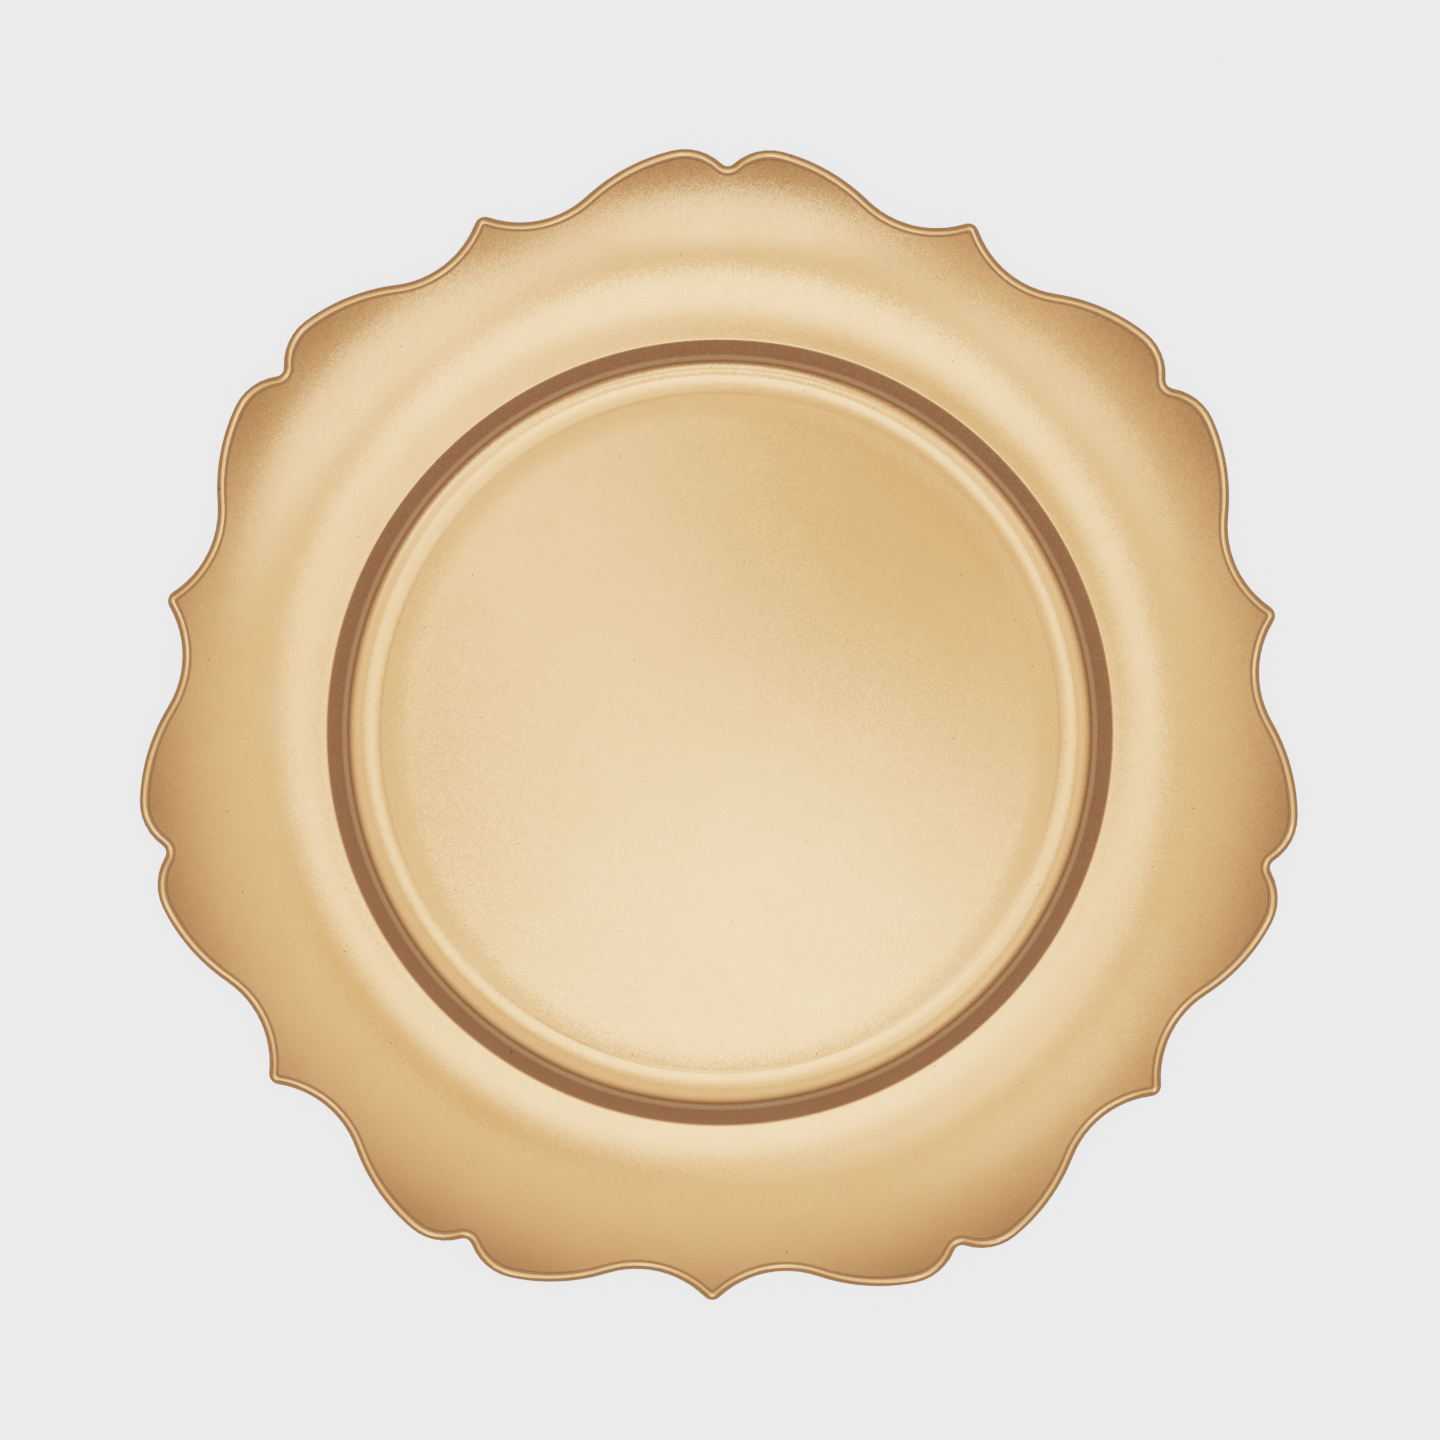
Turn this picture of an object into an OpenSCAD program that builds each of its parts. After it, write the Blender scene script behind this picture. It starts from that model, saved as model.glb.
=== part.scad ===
// Scalloped charger plate, moulded in one piece: a sunken round well, a broad rim that
// sweeps upward to a beaded edge of seven scallops, and a foot ring under the floor.
// Millimetres. The foot ring rests on Z = 0, the axis of the plate is Z, and one
// pointed tip of the edge faces -Y.

/* [Size] */
// Diameter of the circle round the lobe ends
plate_d = 330; // [324:1:340]
// Thickness of the moulded wall
wall = 2.2; // [1.8:0.1:2.6]

/* [Well] */
// Diameter of the well, where the level part of the rim ends
well_d = 224; // [220:0.1:228]
// Depth of the floor below the rim
well_depth = 5.6; // [5:0.1:8]
// Radius of the gentle sweep at the outside of the floor
sweep_r = 42; // [30:0.1:48]
// Slope at which the sweep runs into the cove
sweep_slope = 8; // [4:1:12]
// Radius of the cove
cove_r = 7.5; // [6:0.1:9]
// Slope of the straight side above the cove
side_slope = 48; // [44:1:54]
// Radius of the rounded edge at the top of the side
edge_r = 1.3; // [0.6:0.1:1.8]

/* [Rim] */
// Width of the level band between the well and the rim's upward curve
level_w = 1.4; // [1:0.1:5]
// Rise of the rim from the level band to the lobe ends
rim_rise = 9.8; // [6:0.1:12]

/* [Scalloped edge] */
// Radius of the hollow on each side of a tip
hollow_r = 28.8; // [28:0.1:30]
// Distance of the hollow's centre beyond the circle round the lobe ends
hollow_out = 17.3; // [17:0.1:18]
// Turn from a tip to the centre of its hollow
hollow_turn = 6.73; // [6.6:0.01:6.9]
// Radius of the shoulder between a hollow and a lobe end
shoulder_r = 55; // [52:1:60]
// Radius of the lobe ends
lobe_r = 15.7; // [15:0.1:16.5]
// Turn from a tip to the centre of the lobe end
lobe_turn = 21.15; // [21:0.01:21.3]
// Rounding of the tips
tip_r = 3.2; // [3:0.1:4]
// Rounding of the notches between two lobes
notch_r = 2.4; // [2:0.1:3]

/* [Bead] */
// Width of the bead that follows the edge
bead_w = 2.4; // [2:0.1:2.5]
// Height of the bead above the rim
bead_h = 0.5; // [0.5:0.1:1.2]
// Distance from the edge to the crest of the bead
bead_inset = 1.4; // [1.35:0.01:1.5]

/* [Foot ring] */
// Diameter of the middle of the foot ring
foot_d = 186; // [150:1:188]
// Height of the foot ring under the floor
foot_h = 1.8; // [1.2:0.1:3]
// Width of the foot ring where it rests
foot_w = 3; // [2:0.1:4]
// Widening of the foot ring on each side, up to the floor
foot_draft = 0.5; // [0.2:0.1:1]

/* [Gate mark] */
// Diameter of the shallow dimple under the middle of the floor
dimple_d = 9; // [6:1:14]
// Depth of the dimple
dimple_h = 0.5; // [0.3:0.1:0.8]
// Diameter of the gate stub that stands in the dimple
stub_d = 2.6; // [2:0.1:4]
// Height of the gate stub
stub_h = 0.4; // [0.2:0.1:0.4]

/* [Hidden] */
$fn = 96;

gold = "#D8B27C";

// Solids that are joined run this far into each other
bite = 0.6;

// Spacing of the points: degrees along the small arcs, millimetres along the rim
small_step = 12;
rim_step = 8;

// Bands that build up the rounded bead
bead_bands = 2;

// Radii of the plate, the well and the blank that the edge is cut from
plate_r = plate_d / 2;
well_r = well_d / 2;
blank_r = plate_r + 2 * wall;

// Heights of the floor and of the level part of the rim
floor_z = foot_h + wall;
rim_z = floor_z + well_depth;

// The side of the well is a sweep, a cove, a straight and a rounded edge, each tangent to
// the next. The straight takes up what is left of the depth.
sweep_rise = sweep_r * (1 - cos(sweep_slope));
cove_rise = cove_r * (cos(sweep_slope) - cos(side_slope));
edge_rise = edge_r * (1 - cos(side_slope));
side_len = (well_depth - sweep_rise - cove_rise - edge_rise) / sin(side_slope);

// Centres and ends of those four, as [radius, height], from the top down
edge_c = [well_r, rim_z - edge_r];
side_top = edge_c + polar(edge_r, side_slope + 90);
side_foot = side_top - polar(side_len, side_slope);
cove_c = side_foot + polar(cove_r, side_slope + 90);
sweep_c = cove_c + polar(sweep_r - cove_r, sweep_slope + 90);

// The rim is one arc, level where it starts
rim_r0 = well_r + level_w;
rim_run = plate_r - rim_r0;
rim_arc_r = (rim_run * rim_run + rim_rise * rim_rise) / (2 * rim_rise);
rim_c = [rim_r0, rim_z + rim_arc_r];
rim_turn = asin((blank_r - rim_r0) / rim_arc_r);
rim_steps = ceil((blank_r - rim_r0) / rim_step);

// Under the rim, the back of the straight side runs up until it meets the back of the rim
back_foot = side_foot + polar(wall, side_slope - 90);
back_top_z = rim_z - wall;
back_top_r = back_foot.x + (back_top_z - back_foot.y) / tan(side_slope);

// Half a scallop, from a tip at angle 0 to a notch at angle half_turn, is five arcs: tip,
// hollow, shoulder, lobe end and notch. When the edge is inset, their centres stay. The
// turns of the hollow and the lobe end suit seven scallops.
scallops = 7;
half_turn = 180 / scallops;
hollow_c = polar(plate_r + hollow_out, hollow_turn);
lobe_c = polar(plate_r - lobe_r, lobe_turn);
shoulder_c = apex(hollow_c, lobe_c, hollow_r + shoulder_r, shoulder_r - lobe_r);
tip_c = [hollow_c.x - sqrt(pow(hollow_r + tip_r, 2) - pow(hollow_c.y, 2)), 0];
notch_c = on_ray(lobe_c, lobe_r + notch_r, half_turn);

// Directions in which each arc hands over to the next
tip_end = bearing(tip_c, hollow_c);
shoulder_start = bearing(shoulder_c, hollow_c);
lobe_start = bearing(shoulder_c, lobe_c);
lobe_end = bearing(lobe_c, notch_c);

// A point at distance r from the origin, in direction a
function polar(r, a) = r * [cos(a), sin(a)];

// Direction from point p to point q
function bearing(p, q) = atan2(q.y - p.y, q.x - p.x);

// The point at distance dp from p and dq from q, to the left of the way from p to q
function apex(p, q, dp, dq) =
    let (w = norm(q - p), x = (dp * dp - dq * dq + w * w) / (2 * w), a = bearing(p, q))
    p + polar(x, a) + polar(sqrt(dp * dp - x * x), a + 90);

// The far point at distance d from p on the ray from the origin in direction a
function on_ray(p, d, a) =
    let (x = p * polar(1, a), y = p * polar(1, a + 90))
    polar(x + sqrt(d * d - y * y), a);

// Points along an arc from direction a0 up to, but not at, direction a1
function arc(c, r, a0, a1, step = small_step) =
    let (n = ceil(abs(a1 - a0) / step))
    [for (i = [0:n - 1]) c + polar(r, a0 + (a1 - a0) * i / n)];

// Point p turned by the angle a about the origin
function turned(p, a) = polar(norm(p), atan2(p.y, p.x) + a);

// Point p mirrored in the line through the origin in direction a
function mirrored(p, a) = polar(norm(p), 2 * a - atan2(p.y, p.x));

// Half a scallop, inset by d, up to but not at the notch point. The two wide arcs take
// finer steps than the small ones.
function half_scallop(d) = concat(
    arc(tip_c, tip_r - d, 0, tip_end),
    arc(hollow_c, hollow_r + d, tip_end + 180, shoulder_start + 180, small_step / 2),
    arc(shoulder_c, shoulder_r - d, shoulder_start, lobe_start, small_step / 2),
    arc(lobe_c, lobe_r - d, lobe_start, lobe_end),
    arc(notch_c, notch_r + d, lobe_end + 180, half_turn + 180)
);

// A whole scallop, inset by d: one half, the notch point and the mirrored half
function scallop(d) =
    let (side = half_scallop(d))
    concat(
        side,
        [notch_c - polar(notch_r + d, half_turn)],
        [for (i = [len(side) - 1:-1:1]) mirrored(side[i], half_turn)]
    );

// Points along the rim's section, at the distance t below its upper surface
function rim_line(t) =
    [for (i = [0:rim_steps]) rim_c + polar(rim_arc_r + t, rim_turn * i / rim_steps - 90)];

// Upper surface of the section, from the axis outward
function upper_line() = concat(
    [[0, floor_z]],
    arc(sweep_c, sweep_r, -90, sweep_slope - 90, small_step / 6),
    arc(cove_c, cove_r, sweep_slope - 90, side_slope - 90, small_step / 2),
    [side_foot],
    arc(edge_c, edge_r, side_slope + 90, 90),
    [[well_r, rim_z]],
    rim_line(0)
);

// Underside of the section, from the axis outward
function lower_line() = concat(
    [[0, floor_z - wall]],
    arc(sweep_c, sweep_r + wall, -90, sweep_slope - 90, small_step / 6),
    arc(cove_c, cove_r + wall, sweep_slope - 90, side_slope - 90, small_step / 2),
    [back_foot, [back_top_r, back_top_z]],
    rim_line(wall)
);

// The points of a line in the opposite order
function backward(line) = [for (i = [len(line) - 1:-1:0]) line[i]];

// The scalloped outline, inset by d, with a tip towards -Y
module outline(d = 0) {
    polygon([for (k = [0:scallops - 1]) for (p = scallop(d)) turned(p, 2 * half_turn * k - 90)]);
}

// Floor, well and rim, cut to the scalloped outline
module shell() {
    intersection() {
        rotate_extrude() polygon(concat(upper_line(), backward(lower_line())));
        linear_extrude(rim_z + 2 * rim_rise) outline();
    }
}

// One band of the bead: a skin of the rim, raised by the height lift and kept only between
// two insets of the outline
module bead_band(lift, half_w) {
    intersection() {
        rotate_extrude() polygon(concat(rim_line(-lift), backward(rim_line(bite))));
        linear_extrude(rim_z + 2 * rim_rise) difference() {
            outline(bead_inset - half_w);
            outline(bead_inset + half_w);
        }
    }
}

// The bead along the edge, in bands that narrow like a half ellipse
module bead() {
    for (i = [1:bead_bands]) {
        across = sqrt(1 - pow((i - 0.5) / bead_bands, 2));
        bead_band(bead_h * i / bead_bands, bead_w / 2 * across);
    }
}

// Foot ring under the floor, wider at its root
module foot_ring() {
    root = foot_w / 2 + foot_draft;
    rotate_extrude() translate([foot_d / 2, 0]) polygon([
        [-foot_w / 2, 0],
        [foot_w / 2, 0],
        [root, foot_h],
        [root, foot_h + bite],
        [-root, foot_h + bite],
        [-root, foot_h],
    ]);
}

// The dimple at the moulding gate, to be taken away from the floor
module gate_dimple() {
    translate([0, 0, foot_h - bite]) cylinder(d = dimple_d, h = dimple_h + bite);
}

// What is left of the gate, standing in the dimple
module gate_stub() {
    translate([0, 0, foot_h + dimple_h - stub_h]) cylinder(d = stub_d, h = stub_h + bite);
}

module plate() {
    color(gold) {
        difference() {
            union() {
                shell();
                bead();
                foot_ring();
            }
            gate_dimple();
        }
        gate_stub();
    }
}

plate();
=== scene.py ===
"""Visual model of a scalloped charger plate, moulded in one piece and sprayed gold.

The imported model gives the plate's place and overall size. The shell is drawn, inset and
extruded again as one smooth closed mesh, dressed in a metallic lacquer and set under a
plain soft studio sky.
"""

import logging
import math
from dataclasses import dataclass
from enum import Enum
from itertools import pairwise

import bmesh
import bpy
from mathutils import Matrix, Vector


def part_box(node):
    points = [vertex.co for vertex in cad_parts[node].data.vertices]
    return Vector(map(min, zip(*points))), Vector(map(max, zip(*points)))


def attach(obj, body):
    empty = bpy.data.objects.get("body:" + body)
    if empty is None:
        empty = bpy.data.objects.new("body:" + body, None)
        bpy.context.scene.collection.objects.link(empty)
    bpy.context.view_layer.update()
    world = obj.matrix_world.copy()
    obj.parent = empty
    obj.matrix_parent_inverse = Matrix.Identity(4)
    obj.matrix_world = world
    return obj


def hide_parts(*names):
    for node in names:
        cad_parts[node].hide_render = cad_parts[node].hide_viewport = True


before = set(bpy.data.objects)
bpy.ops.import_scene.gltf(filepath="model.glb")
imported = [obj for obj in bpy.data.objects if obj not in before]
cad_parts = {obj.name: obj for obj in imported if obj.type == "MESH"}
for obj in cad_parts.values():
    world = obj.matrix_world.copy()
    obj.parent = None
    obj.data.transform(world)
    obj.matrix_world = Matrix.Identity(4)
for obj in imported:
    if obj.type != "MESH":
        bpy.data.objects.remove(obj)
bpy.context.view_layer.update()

NODE = "plate"
BODY = "root"
AXIS_UP = (0.0, 0.0, 1.0)
ORIGIN = (0.0, 0.0, 0.0)
LOG = logging.getLogger("charger_plate")

Ring = tuple[float, float]
"""A ring's inset or radius, and its height, in metres."""


# ---------------------------------------------------------------- small helpers


def mm(value: float) -> float:
    """Returns the length in metres of a value in millimetres."""
    return value / 1000.0


def polar(radius: float, angle: float) -> Vector:
    """Returns the flat point at a radius and an angle in radians from the axis."""
    return Vector((radius * math.cos(angle), radius * math.sin(angle)))


def bearing(start: Vector, end: Vector) -> float:
    """Returns the direction from one flat point to another, in radians."""
    return math.atan2(end.y - start.y, end.x - start.x)


def linear_colour(code: str) -> tuple[float, float, float, float]:
    """Turns an sRGB hex colour into linear RGBA.

    Args:
        code: Six hex digits, such as "C9A36B".

    Returns:
        Linear red, green and blue, and an alpha of one.
    """
    channels = [int(code[at:at + 2], 16) / 255.0 for at in (0, 2, 4)]
    linear = [c / 12.92 if c <= 0.04045 else ((c + 0.055) / 1.055) ** 2.4 for c in channels]
    return (linear[0], linear[1], linear[2], 1.0)


def add_node(
    tree: bpy.types.NodeTree, kind: str, inputs: dict | None = None, **settings: object
) -> bpy.types.Node:
    """Adds a shader node with its settings, and sets or links its inputs.

    Args:
        tree: The node tree that the node goes into.
        kind: The node's type name.
        inputs: Input name or number to a value, or to the output socket that feeds it.
        **settings: Attributes of the node, such as operation.

    Returns:
        The new node.
    """
    node = tree.nodes.new(kind)
    for name, value in settings.items():
        setattr(node, name, value)
    for key, value in (inputs or {}).items():
        if isinstance(value, bpy.types.NodeSocket):
            tree.links.new(value, node.inputs[key])
        else:
            node.inputs[key].default_value = value
    return node


# ---------------------------------------------------------------- the scalloped outline


@dataclass(frozen=True)
class Arc:
    """A stretch of the outline that keeps one radius."""

    centre: Vector
    radius: float
    start: float
    end: float
    spacing: float

    @property
    def steps(self) -> int:
        """Number of edges that the arc is drawn with."""
        return max(3, round(abs(self.end - self.start) * self.radius / self.spacing))

    @property
    def first_point(self) -> Vector:
        """Where the arc starts."""
        return self.centre + polar(self.radius, self.start)


@dataclass
class ScallopedOutline:
    """The plate's edge seen from above: seven scallops, each the same on both sides.

    Half a scallop runs from a tip through a hollow, a shoulder and a lobe end to a notch,
    on five arcs that are tangent to each other.
    """

    radius: float
    scallops: int = 7
    tip_radius: float = mm(3.2)
    hollow_radius: float = mm(28.8)
    shoulder_radius: float = mm(55.0)
    lobe_radius: float = mm(15.7)
    notch_radius: float = mm(2.4)
    hollow_beyond: float = mm(17.3)
    hollow_turn: float = math.radians(6.73)
    lobe_turn: float = math.radians(21.15)
    wide_spacing: float = mm(2.4)
    tight_spacing: float = mm(0.55)
    weld: float = mm(0.02)
    tip_heading: float = math.radians(-90.0)

    def half_scallop(self) -> list[Arc]:
        """Works out the five arcs from a tip to the next notch.

        Returns:
            The arcs in order, each starting where the one before ends.
        """
        tip_way = self.tip_heading
        notch_way = tip_way + math.pi / self.scallops
        hollow = polar(self.radius + self.hollow_beyond, tip_way + self.hollow_turn)
        lobe = polar(self.radius - self.lobe_radius, tip_way + self.lobe_turn)
        shoulder = self._tangent_centre(hollow, lobe)
        tip = self._centre_on_ray(hollow, self.hollow_radius + self.tip_radius, tip_way, -1.0)
        notch = self._centre_on_ray(lobe, self.lobe_radius + self.notch_radius, notch_way, 1.0)
        tip_end = bearing(tip, hollow)
        hollow_end = bearing(shoulder, hollow)
        shoulder_end = bearing(shoulder, lobe)
        lobe_end = bearing(lobe, notch)
        tight, wide = self.tight_spacing, self.wide_spacing
        return [
            Arc(tip, self.tip_radius, tip_way, tip_end, tight),
            Arc(hollow, self.hollow_radius, tip_end + math.pi, hollow_end + math.pi, wide),
            Arc(shoulder, self.shoulder_radius, hollow_end, shoulder_end, wide),
            Arc(lobe, self.lobe_radius, shoulder_end, lobe_end, wide),
            Arc(notch, self.notch_radius, lobe_end + math.pi, notch_way + math.pi, tight),
        ]

    def _tangent_centre(self, hollow: Vector, lobe: Vector) -> Vector:
        """Returns the shoulder's centre, from which the arc meets the hollow and the lobe end."""
        from_hollow = self.hollow_radius + self.shoulder_radius
        from_lobe = self.shoulder_radius - self.lobe_radius
        apart = (lobe - hollow).length
        along = (from_hollow**2 - from_lobe**2 + apart**2) / (2.0 * apart)
        aside = math.sqrt(from_hollow**2 - along**2)
        way = bearing(hollow, lobe)
        return hollow + polar(along, way) + polar(aside, way + math.pi / 2.0)

    @staticmethod
    def _centre_on_ray(point: Vector, distance: float, way: float, side: float) -> Vector:
        """Returns the point on the ray from the axis that stands a distance from a point.

        Args:
            point: The flat point that the distance is measured from.
            distance: How far away the result stands.
            way: Direction of the ray in radians.
            side: 1 for the far one of the two such points, -1 for the near one.
        """
        along = point.dot(polar(1.0, way))
        aside = point.dot(polar(1.0, way + math.pi / 2.0))
        return polar(along + side * math.sqrt(distance**2 - aside**2), way)

    def draw(self, name: str) -> bpy.types.Object:
        """Draws the outline by spinning a point round each arc, and fills it with one face.

        Args:
            name: Name of the new object.

        Returns:
            The object, in edit mode with its one face selected.
        """
        arcs = self.half_scallop()
        start = arcs[0].first_point
        bpy.ops.object.select_all(action="DESELECT")
        bpy.ops.mesh.primitive_plane_add(size=self.tight_spacing, location=ORIGIN)
        sheet = bpy.context.active_object
        sheet.name = name
        bpy.ops.object.mode_set(mode="EDIT")
        bpy.ops.mesh.select_mode(type="VERT")
        bpy.ops.mesh.select_all(action="SELECT")
        bpy.ops.mesh.merge(type="CENTER")
        bpy.ops.transform.translate(value=(start.x, start.y, 0.0))
        for arc in arcs:
            bpy.ops.mesh.spin(
                steps=arc.steps, angle=arc.start - arc.end, center=arc.centre.to_3d(), axis=AXIS_UP
            )
        bpy.ops.mesh.select_all(action="SELECT")
        bpy.ops.mesh.duplicate()
        bpy.ops.transform.resize(value=(-1.0, 1.0, 1.0), center_override=ORIGIN)
        bpy.ops.mesh.select_all(action="SELECT")
        bpy.ops.mesh.spin(
            steps=self.scallops, angle=2.0 * math.pi, center=ORIGIN, axis=AXIS_UP, dupli=True
        )
        bpy.ops.mesh.select_all(action="SELECT")
        bpy.ops.mesh.remove_doubles(threshold=self.weld)
        bpy.ops.mesh.edge_face_add()
        return sheet


# ---------------------------------------------------------------- the plate


@dataclass
class PlateSizes:
    """The plate's heights and the curves of its section, in metres."""

    outline: ScallopedOutline
    base_z: float
    rim_z: float
    rim_rise: float
    wall: float = mm(2.2)
    well_depth: float = mm(5.6)
    level_radius: float = mm(113.4)
    floor_radius: float = mm(98.3)
    foot_radius: float = mm(93.0)
    foot_height: float = mm(1.8)

    @classmethod
    def from_frame(cls, node: str) -> "PlateSizes":
        """Takes the plate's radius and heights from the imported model.

        Args:
            node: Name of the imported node.
        """
        low, high = (Vector(corner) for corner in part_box(node))
        lobe_radius = ScallopedOutline.lobe_radius
        # The lobe end that reaches furthest along X stands this far round from the X axis.
        pitch = 2.0 * math.pi / ScallopedOutline.scallops
        off_axis = math.pi / 2.0 - 2.0 * pitch + ScallopedOutline.lobe_turn
        reach = (high.x - low.x) / 2.0
        radius = (reach - lobe_radius) / math.cos(off_axis) + lobe_radius
        rim_z = low.z + cls.foot_height + cls.wall + cls.well_depth
        rise = high.z - rim_z
        return cls(ScallopedOutline(radius), low.z, rim_z, rise)


class Section:
    """Walks outward along a section of the plate and keeps the rings that it passes."""

    def __init__(self, radius: float, height: float) -> None:
        """Starts at a radius and a height."""
        self.rings: list[Ring] = [(radius, height)]

    def step(self, outward: float, slope: float) -> None:
        """Goes straight outward over a width, and up by a slope in degrees."""
        radius, height = self.rings[-1]
        self.rings.append((radius + outward, height + outward * math.tan(math.radians(slope))))

    def rise(self, up: float, slope: float) -> None:
        """Goes straight up by a height, and outward by a slope in degrees."""
        self.step(up / math.tan(math.radians(slope)), slope)

    def curve(self, bend: float, slope_from: float, slope_to: float, spacing: float) -> None:
        """Goes outward and up along an arc.

        Args:
            bend: The arc's radius.
            slope_from: Slope where the arc starts, in degrees.
            slope_to: Slope where it ends, in degrees.
            spacing: Angle from ring to ring, in degrees.
        """
        count = max(2, math.ceil(abs(slope_to - slope_from) / spacing))
        turn = (slope_to - slope_from) / count
        slopes = [math.radians(slope_from + turn * i) for i in range(count + 1)]
        for before, after in pairwise(slopes):
            radius, height = self.rings[-1]
            radius += bend * abs(math.sin(after) - math.sin(before))
            height += bend * abs(math.cos(after) - math.cos(before))
            self.rings.append((radius, height))


class Side(Enum):
    """The two skins of the shell."""

    UPPER = "upper"
    UNDER = "under"


@dataclass
class Plate:
    """The moulded shell: floor, well, rim, beaded edge and foot ring in one piece."""

    sizes: PlateSizes
    sweep_bend: float = mm(40.0)
    sweep_slope: float = 5.5
    crease_width: float = mm(0.45)
    crease_slope: float = 10.5
    shelf_width: float = mm(0.8)
    shelf_slope: float = 4.5
    ease_bend: float = mm(10.0)
    ease_slope: float = 7.0
    cove_bend: float = mm(7.35)
    cove_slope: float = 16.0
    side_slope: float = 42.0
    corner_bend: float = mm(0.8)
    lip_bend: float = mm(2.0)
    lip_slope: float = 14.0
    step_radius: float = mm(96.5)
    floor_step: float = mm(0.12)
    under_corner_bend: float = mm(0.6)
    edge_middle: float = mm(-1.75)
    rim_edge_inset: float = mm(3.1)
    rim_rings: int = 15
    floor_rings: tuple[float, ...] = tuple(map(mm, (89, 79, 67, 55, 43, 31, 19, 8, 2)))
    under_rings: tuple[float, ...] = (mm(60.0), mm(30.0))
    crown: float = mm(0.45)
    edge_weld: float = mm(0.25)
    seam_weld: float = mm(0.001)
    smooth_angle: float = math.radians(40.0)

    @property
    def rim_start(self) -> float:
        """Radius of the circle that the rim's rings start from, just outside the level part."""
        return self.sizes.level_radius + mm(1.0)

    def build(self) -> bpy.types.Object:
        """Models the shell as one closed mesh.

        Returns:
            The plate, in object mode, with its place in its mesh.
        """
        upper = self._skin(Side.UPPER)
        under = self._skin(Side.UNDER)
        bpy.ops.object.select_all(action="DESELECT")
        under.select_set(True)
        upper.select_set(True)
        bpy.context.view_layer.objects.active = upper
        bpy.ops.object.join()
        bpy.ops.object.mode_set(mode="EDIT")
        bpy.ops.mesh.select_all(action="SELECT")
        bpy.ops.mesh.remove_doubles(threshold=self.seam_weld)
        bpy.ops.mesh.normals_make_consistent(inside=False)
        bpy.ops.object.mode_set(mode="OBJECT")
        bpy.ops.object.shade_smooth_by_angle(angle=self.smooth_angle)
        upper.name = upper.data.name = "charger_plate"
        return upper

    def _skin(self, side: Side) -> bpy.types.Object:
        """Models the upper or the under skin, from the middle of the edge to the axis.

        Args:
            side: Which skin.

        Returns:
            The skin, in object mode, open along the middle of the edge.
        """
        edge = self._upper_edge() if side is Side.UPPER else self._under_edge()
        section = self._upper_section() if side is Side.UPPER else self._under_section()
        skin = self.sizes.outline.draw(f"{side.value}_skin")
        bpy.ops.transform.translate(value=(0.0, 0.0, edge[0][1]))
        for (inset, height), (next_inset, next_height) in pairwise(edge):
            bpy.ops.mesh.inset(thickness=next_inset - inset)
            bpy.ops.transform.translate(value=(0.0, 0.0, next_height - height))
        bpy.ops.mesh.remove_doubles(threshold=self.edge_weld)
        self._round_off(skin, *section[0])
        for (radius, height), (next_radius, next_height) in pairwise(section):
            scale = next_radius / radius
            bpy.ops.mesh.extrude_region_move()
            bpy.ops.transform.resize(value=(scale, scale, 1.0), center_override=ORIGIN)
            bpy.ops.transform.translate(value=(0.0, 0.0, next_height - height))
        bpy.ops.mesh.merge(type="CENTER")
        self._add_rim_rings(skin)
        self._lift(skin)
        bpy.ops.object.mode_set(mode="OBJECT")
        return skin

    def _upper_edge(self) -> list[Ring]:
        """Insets and heights over the bead, from the middle of the edge inward.

        The bead is a lip. It turns over from the edge, runs level where the rim falls away
        inward, and ends in a short steep flank.
        """
        turnover = ((0.07, -1.46), (0.2, -1.19), (0.4, -0.83), (0.58, -0.59), (0.75, -0.4))
        crest = ((1.0, -0.24), (1.3, -0.08), (1.6, 0.03), (1.9, 0.11), (2.15, 0.14))
        flank = ((2.32, 0.11), (2.48, 0.03), (2.65, 0.0))
        bead = [(mm(inset), mm(height)) for inset, height in turnover + crest + flank]
        return [(0.0, self.edge_middle), *bead, (self.rim_edge_inset, 0.0)]

    def _under_edge(self) -> list[Ring]:
        """Insets and heights under the edge, from its middle inward."""
        low = -self.sizes.wall
        turnover = ((0.06, 0.28), (0.2, 0.12), (0.45, 0.03), (0.8, 0.0))
        corner = [(mm(inset), low + mm(above)) for inset, above in turnover]
        return [(0.0, self.edge_middle), *corner, (self.rim_edge_inset, low)]

    def _upper_section(self) -> list[Ring]:
        """Radii and heights from the level of the rim down the well and over the floor."""
        sizes = self.sizes
        floor = -sizes.well_depth
        well = Section(sizes.floor_radius, floor)
        well.curve(self.sweep_bend, 0.0, self.sweep_slope, spacing=1.0)
        # A soft crease stands between the sweep and the cove.
        well.step(self.crease_width, self.crease_slope)
        well.step(self.shelf_width, self.shelf_slope)
        well.curve(self.ease_bend, self.ease_slope, self.cove_slope, spacing=2.0)
        well.curve(self.cove_bend, self.cove_slope, self.side_slope, spacing=4.0)
        side, lip = (math.cos(math.radians(slope)) for slope in (self.side_slope, self.lip_slope))
        rounded = self.corner_bend * (lip - side) + self.lip_bend * (1.0 - lip)
        well.rise(-well.rings[-1][1] - rounded, self.side_slope)
        well.curve(self.corner_bend, self.side_slope, self.lip_slope, spacing=6.0)
        well.curve(self.lip_bend, self.lip_slope, 0.0, spacing=4.0)
        rings = [(self.rim_start, 0.0), *reversed(well.rings)]
        # A faint step, where the crowned floor stands a tenth of a millimetre above its border.
        raised = floor + self.floor_step
        inside = self.step_radius
        fillet = mm(0.01)
        rings += [
            (inside + mm(0.9), floor),
            (inside + mm(0.7), floor + fillet),
            (inside + mm(0.1), raised - fillet),
            (inside, raised),
        ]
        for radius in self.floor_rings:
            rings.append((radius, raised + self.crown * (1.0 - (radius / inside) ** 2)))
        return rings

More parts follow.
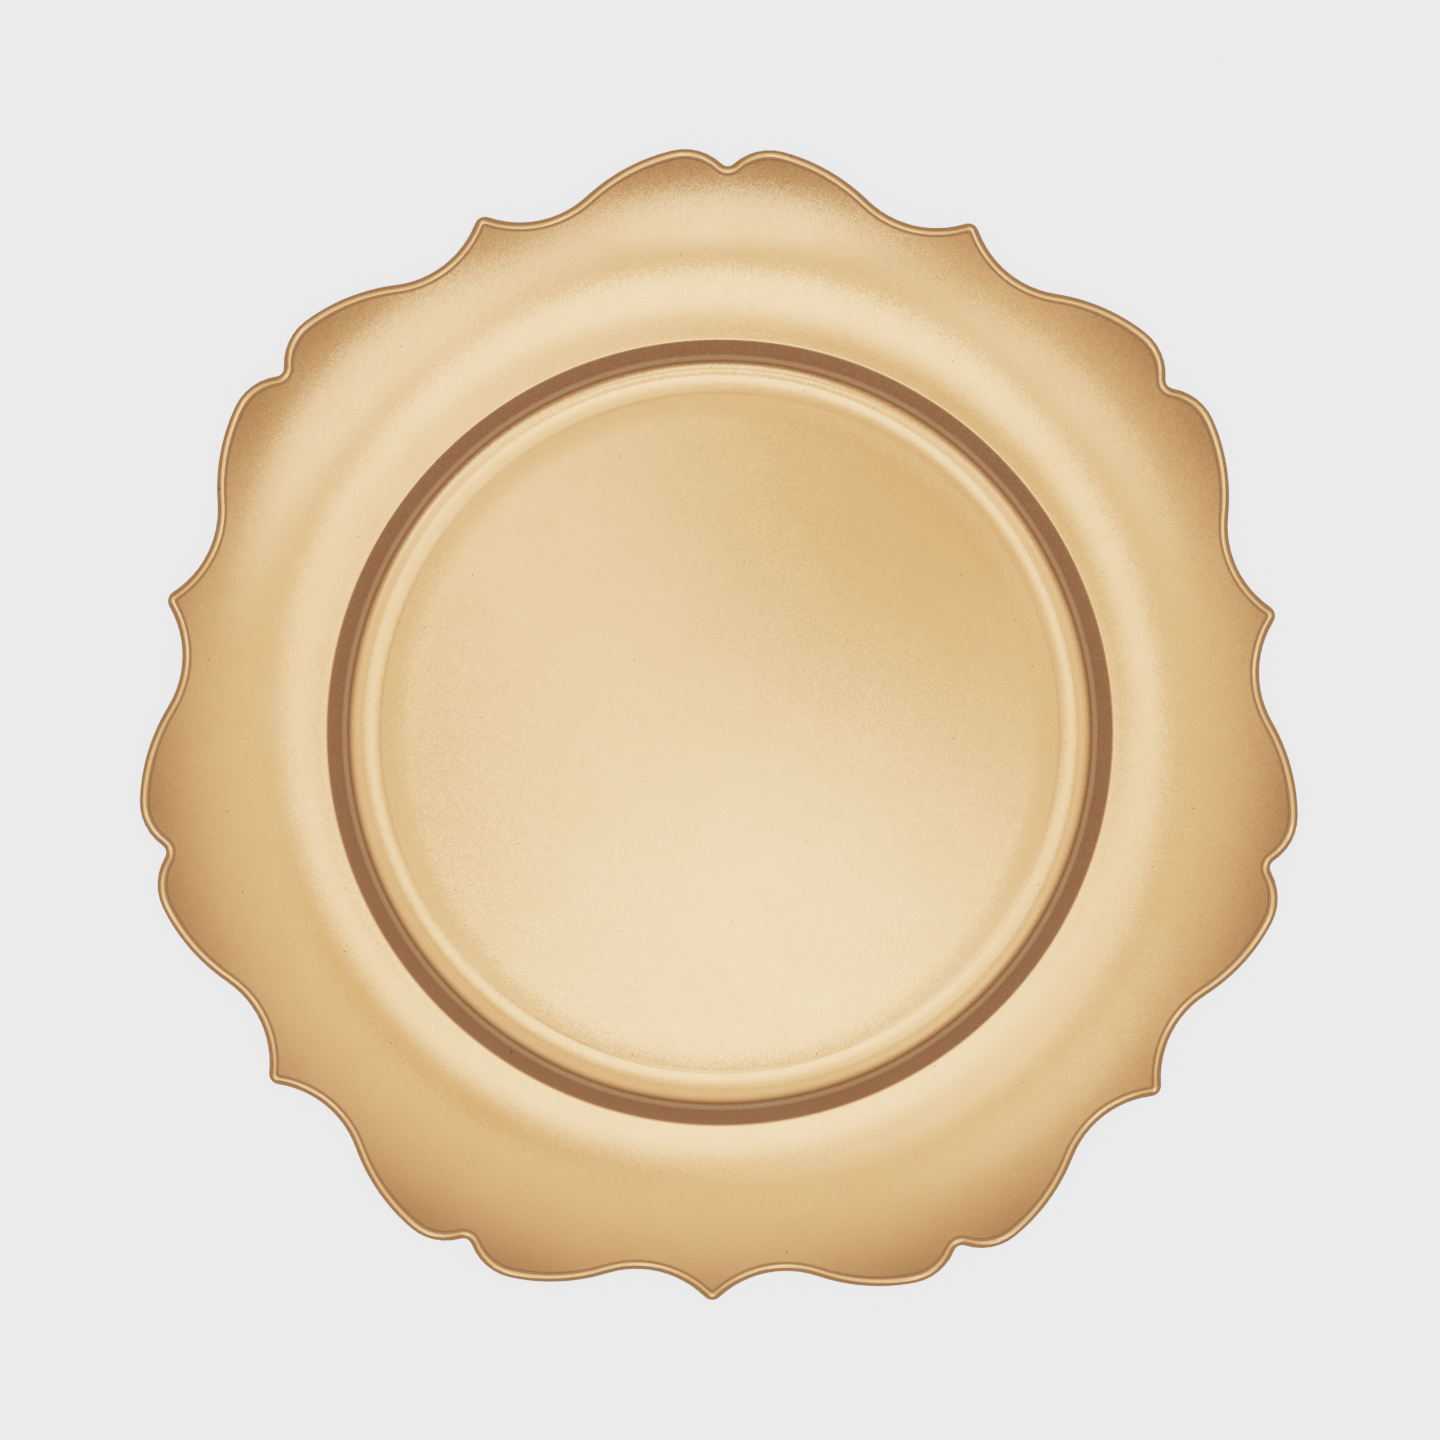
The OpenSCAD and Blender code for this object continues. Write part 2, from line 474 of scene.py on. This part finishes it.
    def _under_section(self) -> list[Ring]:
        """Radii and heights from the back of the rim to the foot ring and the gate mark."""
        sizes = self.sizes
        wall = sizes.wall
        floor = -sizes.well_depth - wall
        back = Section(sizes.floor_radius, floor)
        back.curve(self.sweep_bend + wall, 0.0, self.ease_slope, spacing=2.5)
        back.curve(self.ease_bend + wall, self.ease_slope, self.cove_slope, spacing=3.0)
        back.curve(self.cove_bend + wall, self.cove_slope, self.side_slope, spacing=5.0)
        rounded = self.under_corner_bend * (1.0 - math.cos(math.radians(self.side_slope)))
        back.rise(-wall - back.rings[-1][1] - rounded, self.side_slope)
        back.curve(self.under_corner_bend, self.side_slope, 0.0, spacing=12.0)
        rings = [(self.rim_start, -wall), *reversed(back.rings)]
        drop = sizes.foot_height
        foot = [
            (mm(2.3), 0.0),
            (mm(2.0), mm(0.12)),
            (mm(1.9), mm(0.3)),
            (mm(1.62), drop - mm(0.25)),
            (mm(1.35), drop),
        ]
        rings += [(sizes.foot_radius + offset, floor - down) for offset, down in foot]
        rings += [(sizes.foot_radius - offset, floor - down) for offset, down in reversed(foot)]
        rings += [(radius, floor) for radius in self.under_rings]
        # The gate mark: a dimple with the stub of the gate standing in it.
        dimple = ((4.6, 0.0), (4.4, 0.05), (4.15, 0.44), (3.9, 0.5), (1.6, 0.5))
        stub = ((1.36, 0.44), (1.28, 0.2), (1.1, 0.1))
        rings += [(mm(radius), floor + mm(up)) for radius, up in dimple + stub]
        return rings

    @staticmethod
    def _round_off(skin: bpy.types.Object, radius: float, height: float) -> None:
        """Extrudes the selected scalloped face and pulls its outline to a circle.

        Args:
            skin: The object in edit mode.
            radius: Radius of the circle.
            height: Height of the circle.
        """
        bpy.ops.mesh.extrude_region_move()
        corner = next(v for v in bmesh.from_edit_mesh(skin.data).verts if v.select)
        level = corner.co.z
        bpy.ops.transform.tosphere(value=1.0, center_override=(0.0, 0.0, level))
        corner = next(v for v in bmesh.from_edit_mesh(skin.data).verts if v.select)
        scale = radius / corner.co.xy.length
        bpy.ops.transform.resize(value=(scale, scale, 1.0), center_override=ORIGIN)
        bpy.ops.transform.translate(value=(0.0, 0.0, height - level))

    def _add_rim_rings(self, skin: bpy.types.Object) -> None:
        """Cuts rings across the edges that run from the circle out to the scalloped edge.

        Args:
            skin: The object in edit mode.
        """
        on_circle, far_out = mm(0.1), self.rim_start + mm(10.0)
        bpy.ops.mesh.select_all(action="DESELECT")
        bpy.ops.mesh.select_mode(type="EDGE")
        shell = bmesh.from_edit_mesh(skin.data)
        for edge in shell.edges:
            inner, outer = sorted(vertex.co.xy.length for vertex in edge.verts)
            if abs(inner - self.rim_start) < on_circle and outer > far_out:
                edge.select_set(True)
        bmesh.update_edit_mesh(skin.data)
        bpy.ops.mesh.subdivide_edgering(
            number_cuts=self.rim_rings, interpolation="LINEAR", smoothness=0.0
        )

    def _lift(self, skin: bpy.types.Object) -> None:
        """Raises the skin to its place, and the rim with its edge along the rim's long arc.

        Args:
            skin: The object in edit mode.
        """
        sizes = self.sizes
        run = sizes.outline.radius - sizes.level_radius
        bend = (run**2 + sizes.rim_rise**2) / (2.0 * sizes.rim_rise)
        shell = bmesh.from_edit_mesh(skin.data)
        for vertex in shell.verts:
            out = max(0.0, vertex.co.xy.length - sizes.level_radius)
            vertex.co.z += sizes.rim_z + bend - math.sqrt(bend**2 - out**2)
        bmesh.update_edit_mesh(skin.data)


# ---------------------------------------------------------------- the finish


@dataclass(frozen=True)
class GoldLacquer:
    """Metal-flake gold lacquer, sprayed on moulded plastic and left satin.

    The flakes give a fine sparkle and a soft metallic gloss. Real ones are a tenth of this
    size, too fine to show. The spray leaves a slight orange peel, faint warm and cool patches
    and a few nibs of dust.
    """

    name: str = "sprayed_gold_flake_lacquer"
    warm_gold: str = "E69659"
    pale_gold: str = "FDB679"
    nib: str = "5C4026"
    grazing_tint: str = "C8C4BE"
    roughness: float = 0.12
    roughness_spread: float = 0.02
    flake_size: float = mm(0.36)
    flake_share: float = 0.6
    flake_tilt: float = 0.022
    peel_size: float = mm(1.6)
    peel_depth: float = mm(0.0008)
    patch_size: float = mm(14.0)
    nib_spacing: float = mm(42.0)
    nib_radius: float = mm(0.28)

    def make(self) -> bpy.types.Material:
        """Builds the material.

        Returns:
            The lacquer, patterned in object coordinates.
        """
        material = bpy.data.materials.new(self.name)
        material.use_nodes = True
        tree = material.node_tree
        tree.nodes.clear()
        place = add_node(tree, "ShaderNodeTexCoord").outputs["Object"]
        flakes = add_node(
            tree,
            "ShaderNodeTexVoronoi",
            {"Vector": place, "Scale": 1.0 / self.flake_size},
            feature="F1",
        )
        colour = self._colour(tree, place, flakes.outputs["Color"])
        roughness = add_node(
            tree,
            "ShaderNodeMapRange",
            {
                "Value": flakes.outputs["Distance"],
                "To Min": self.roughness - self.roughness_spread,
                "To Max": self.roughness + self.roughness_spread,
            },
        )
        shader = add_node(
            tree,
            "ShaderNodeBsdfPrincipled",
            {
                "Base Color": colour,
                "Metallic": 1.0,
                "Roughness": roughness.outputs["Result"],
                "Normal": self._normal(tree, place, flakes.outputs["Color"]),
                "Specular Tint": linear_colour(self.grazing_tint),
            },
        )
        add_node(tree, "ShaderNodeOutputMaterial", {"Surface": shader.outputs["BSDF"]})
        return material

    def _colour(
        self, tree: bpy.types.NodeTree, place: bpy.types.NodeSocket, flake: bpy.types.NodeSocket
    ) -> bpy.types.NodeSocket:
        """Mixes the golds by patch and flake, and darkens the nibs."""
        patches = add_node(
            tree,
            "ShaderNodeTexNoise",
            {"Vector": place, "Scale": 1.0 / self.patch_size, "Detail": 3.0, "Roughness": 0.6},
        )
        factor = add_node(
            tree,
            "ShaderNodeMix",
            {"Factor": self.flake_share, "A": patches.outputs["Fac"], "B": flake},
        )
        golds = add_node(
            tree,
            "ShaderNodeMix",
            {
                "Factor": factor.outputs["Result"],
                "A": linear_colour(self.warm_gold),
                "B": linear_colour(self.pale_gold),
            },
            data_type="RGBA",
        )
        dust = add_node(
            tree,
            "ShaderNodeTexVoronoi",
            {"Vector": place, "Scale": 1.0 / self.nib_spacing},
            voronoi_dimensions="2D",
        )
        size = self.nib_radius / self.nib_spacing
        nibs = add_node(
            tree,
            "ShaderNodeMapRange",
            {
                "Value": dust.outputs["Distance"],
                "From Min": 0.5 * size,
                "From Max": size,
                "To Min": 1.0,
                "To Max": 0.0,
            },
        )
        spotted = add_node(
            tree,
            "ShaderNodeMix",
            {
                "Factor": nibs.outputs["Result"],
                "A": golds.outputs["Result"],
                "B": linear_colour(self.nib),
            },
            data_type="RGBA",
        )
        return spotted.outputs["Result"]

    def _normal(
        self, tree: bpy.types.NodeTree, place: bpy.types.NodeSocket, flake: bpy.types.NodeSocket
    ) -> bpy.types.NodeSocket:
        """Tilts each flake its own way, over the slow waves of the orange peel."""
        peel = add_node(
            tree,
            "ShaderNodeTexNoise",
            {"Vector": place, "Scale": 1.0 / self.peel_size, "Detail": 2.0},
        )
        waves = add_node(
            tree,
            "ShaderNodeBump",
            {"Height": peel.outputs["Fac"], "Distance": self.peel_depth, "Strength": 1.0},
        )
        centred = add_node(
            tree, "ShaderNodeVectorMath", {0: flake, 1: (0.5, 0.5, 0.5)}, operation="SUBTRACT"
        )
        tilt = add_node(
            tree,
            "ShaderNodeVectorMath",
            {0: centred.outputs["Vector"], 1: (self.flake_tilt,) * 3, 2: waves.outputs["Normal"]},
            operation="MULTIPLY_ADD",
        )
        return add_node(
            tree, "ShaderNodeVectorMath", {0: tilt.outputs["Vector"]}, operation="NORMALIZE"
        ).outputs["Vector"]


# ---------------------------------------------------------------- the studio


@dataclass(frozen=True)
class Softbox:
    """A soft round patch of light in the studio sky.

    Angles are in degrees: the bearing runs anticlockwise from +X, and the tilt is measured
    down from straight overhead. A softbox of negative strength is a dark flag.
    """

    bearing: float
    tilt: float
    radius: float
    softness: float
    strength: float

    def direction(self) -> tuple[float, float, float]:
        """Returns the unit vector towards the middle of the softbox."""
        bearing_angle, tilt = math.radians(self.bearing), math.radians(self.tilt)
        flat = math.sin(tilt)
        return (flat * math.cos(bearing_angle), flat * math.sin(bearing_angle), math.cos(tilt))


@dataclass(frozen=True)
class Studio:
    """A pale floor under a soft sky of softboxes, and the camera straight overhead."""

    backdrop: str = "EBEBEB"
    backdrop_light: float = 3.18
    paper: str = "B4B4B4"
    paper_light: float = 0.2
    paper_light_seen: float = 2.88
    paper_roughness: float = 0.9
    paper_gloss: float = 0.1
    side_glow: float = 0.31
    side_colour: str = "F2EBFF"
    glow_colour: str = "FFF5E6"
    softbox_colour: str = "D6E8FF"
    glow: Softbox = Softbox(bearing=0.0, tilt=0.0, radius=8.0, softness=36.0, strength=1.5)
    softboxes: tuple[Softbox, ...] = (
        Softbox(bearing=276.0, tilt=4.8, radius=2.5, softness=4.5, strength=3.3),
        Softbox(bearing=140.0, tilt=4.0, radius=1.0, softness=4.0, strength=1.6),
        Softbox(bearing=50.0, tilt=5.0, radius=1.0, softness=4.0, strength=-0.62),
        Softbox(bearing=270.0, tilt=21.3, radius=3.0, softness=6.0, strength=2.4),
        Softbox(bearing=225.0, tilt=15.5, radius=2.5, softness=5.0, strength=1.2),
        Softbox(bearing=315.0, tilt=18.0, radius=4.0, softness=6.0, strength=2.0),
        Softbox(bearing=135.0, tilt=16.5, radius=2.5, softness=5.0, strength=0.6),
    )
    # A low ring: a wide patch round the zenith, less a narrower one.
    ring: tuple[Softbox, ...] = (
        Softbox(bearing=0.0, tilt=0.0, radius=67.0, softness=13.0, strength=0.34),
        Softbox(bearing=0.0, tilt=0.0, radius=45.0, softness=10.0, strength=-0.34),
    )
    floor_size: float = 12.0
    camera_distance: float = 1.25
    view_width: float = mm(405.7)
    view_shift: float = mm(3.5)
    roll: float = math.radians(0.78)
    sensor: float = 36.0
    film: str = "Filmic"

    def build_floor(self, height: float) -> None:
        """Lays the pale paper floor at a height.

        The paper glows more towards the camera than towards the plate, which keeps a bright
        outline off the plate's edge.
        """
        bpy.ops.object.select_all(action="DESELECT")
        bpy.ops.mesh.primitive_plane_add(size=self.floor_size, location=(0.0, 0.0, height))
        floor = bpy.context.active_object
        floor.name = "studio_floor"
        bpy.ops.object.transform_apply(location=True)
        material = bpy.data.materials.new("matt_studio_paper")
        material.use_nodes = True
        tree = material.node_tree
        tree.nodes.clear()
        seen = add_node(tree, "ShaderNodeLightPath").outputs["Is Camera Ray"]
        light = add_node(
            tree,
            "ShaderNodeMapRange",
            {"Value": seen, "To Min": self.paper_light, "To Max": self.paper_light_seen},
        )
        shader = add_node(
            tree,
            "ShaderNodeBsdfPrincipled",
            {
                "Base Color": linear_colour(self.paper),
                "Roughness": self.paper_roughness,
                "Specular IOR Level": self.paper_gloss,
                "Emission Color": linear_colour(self.backdrop),
                "Emission Strength": light.outputs["Result"],
            },
        )
        add_node(tree, "ShaderNodeOutputMaterial", {"Surface": shader.outputs["BSDF"]})
        floor.data.materials.append(material)

    def build_sky(self) -> None:
        """Builds the sky: a glow that fades from overhead to the sides, and the softboxes."""
        world = bpy.data.worlds.new("studio_sky")
        bpy.context.scene.world = world
        world.use_nodes = True
        tree = world.node_tree
        tree.nodes.clear()
        way = add_node(tree, "ShaderNodeTexCoord").outputs["Generated"]
        sides = [channel * self.side_glow for channel in linear_colour(self.side_colour)[:3]]
        light = add_node(
            tree,
            "ShaderNodeVectorMath",
            {
                0: linear_colour(self.glow_colour)[:3],
                1: self._patch(tree, way, self.glow),
                2: sides,
            },
            operation="MULTIPLY_ADD",
        )
        tint = linear_colour(self.softbox_colour)[:3]
        for softbox in (*self.softboxes, *self.ring):
            light = add_node(
                tree,
                "ShaderNodeVectorMath",
                {0: tint, 1: self._patch(tree, way, softbox), 2: light.outputs[0]},
                operation="MULTIPLY_ADD",
            )
        sky = add_node(tree, "ShaderNodeBackground", {"Color": light.outputs[0], "Strength": 1.0})
        # The camera sees an even backdrop where the floor ends.
        backdrop = add_node(
            tree,
            "ShaderNodeBackground",
            {"Color": linear_colour(self.backdrop), "Strength": self.backdrop_light},
        )
        seen = add_node(tree, "ShaderNodeLightPath").outputs["Is Camera Ray"]
        mixed = add_node(
            tree, "ShaderNodeMixShader", {0: seen, 1: sky.outputs[0], 2: backdrop.outputs[0]}
        )
        add_node(tree, "ShaderNodeOutputWorld", {"Surface": mixed.outputs[0]})

    @staticmethod
    def _patch(
        tree: bpy.types.NodeTree, way: bpy.types.NodeSocket, softbox: Softbox
    ) -> bpy.types.NodeSocket:
        """Builds the light of one softbox, full within its radius and none past its soft edge.

        Args:
            tree: The world's node tree.
            way: Socket with the direction that a ray goes in.
            softbox: The softbox.

        Returns:
            The socket with the light's strength.
        """
        toward = add_node(
            tree, "ShaderNodeVectorMath", {0: way, 1: softbox.direction()}, operation="DOT_PRODUCT"
        )
        angle = add_node(
            tree, "ShaderNodeMath", {0: toward.outputs["Value"]}, operation="ARCCOSINE"
        )
        fade = add_node(
            tree,
            "ShaderNodeMapRange",
            {
                "Value": angle.outputs[0],
                "From Min": math.radians(softbox.radius),
                "From Max": math.radians(softbox.radius + softbox.softness),
                "To Min": softbox.strength,
                "To Max": 0.0,
            },
            interpolation_type="SMOOTHSTEP",
        )
        return fade.outputs["Result"]

    def build_camera(self, height: float) -> None:
        """Puts the camera straight above the plate, with the whole plate in its view.

        Args:
            height: Height of the plane that the view's width is measured in.
        """
        bpy.ops.object.camera_add(
            location=(0.0, self.view_shift, height + self.camera_distance),
            rotation=(0.0, 0.0, self.roll),
        )
        camera = bpy.context.active_object
        camera.name = "overhead_camera"
        camera.data.sensor_width = self.sensor
        camera.data.lens = self.sensor * self.camera_distance / self.view_width
        bpy.context.scene.camera = camera

    def set_film(self) -> None:
        """Sets the view transform, whose soft shoulder the gold's highlights need."""
        bpy.context.scene.view_settings.view_transform = self.film


# ---------------------------------------------------------------- putting it together


def main() -> None:
    """Builds the plate and the studio, and reports each piece."""
    logging.basicConfig(level=logging.INFO, format="%(name)s: %(message)s")
    sizes = PlateSizes.from_frame(NODE)
    studio = Studio()
    studio.build_camera(sizes.rim_z + sizes.rim_rise)
    studio.build_sky()
    studio.build_floor(sizes.base_z)
    studio.set_film()
    LOG.info("studio: %d softboxes", len(studio.softboxes))

    plate = Plate(sizes).build()
    plate.data.materials.clear()
    plate.data.materials.append(GoldLacquer().make())
    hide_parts(NODE)
    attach(plate, BODY)
    count, radius = len(plate.data.vertices), sizes.outline.radius / mm(1.0)
    LOG.info("%s: %d vertices, radius %.1f mm", plate.name, count, radius)


if __name__ == "__main__":
    main()
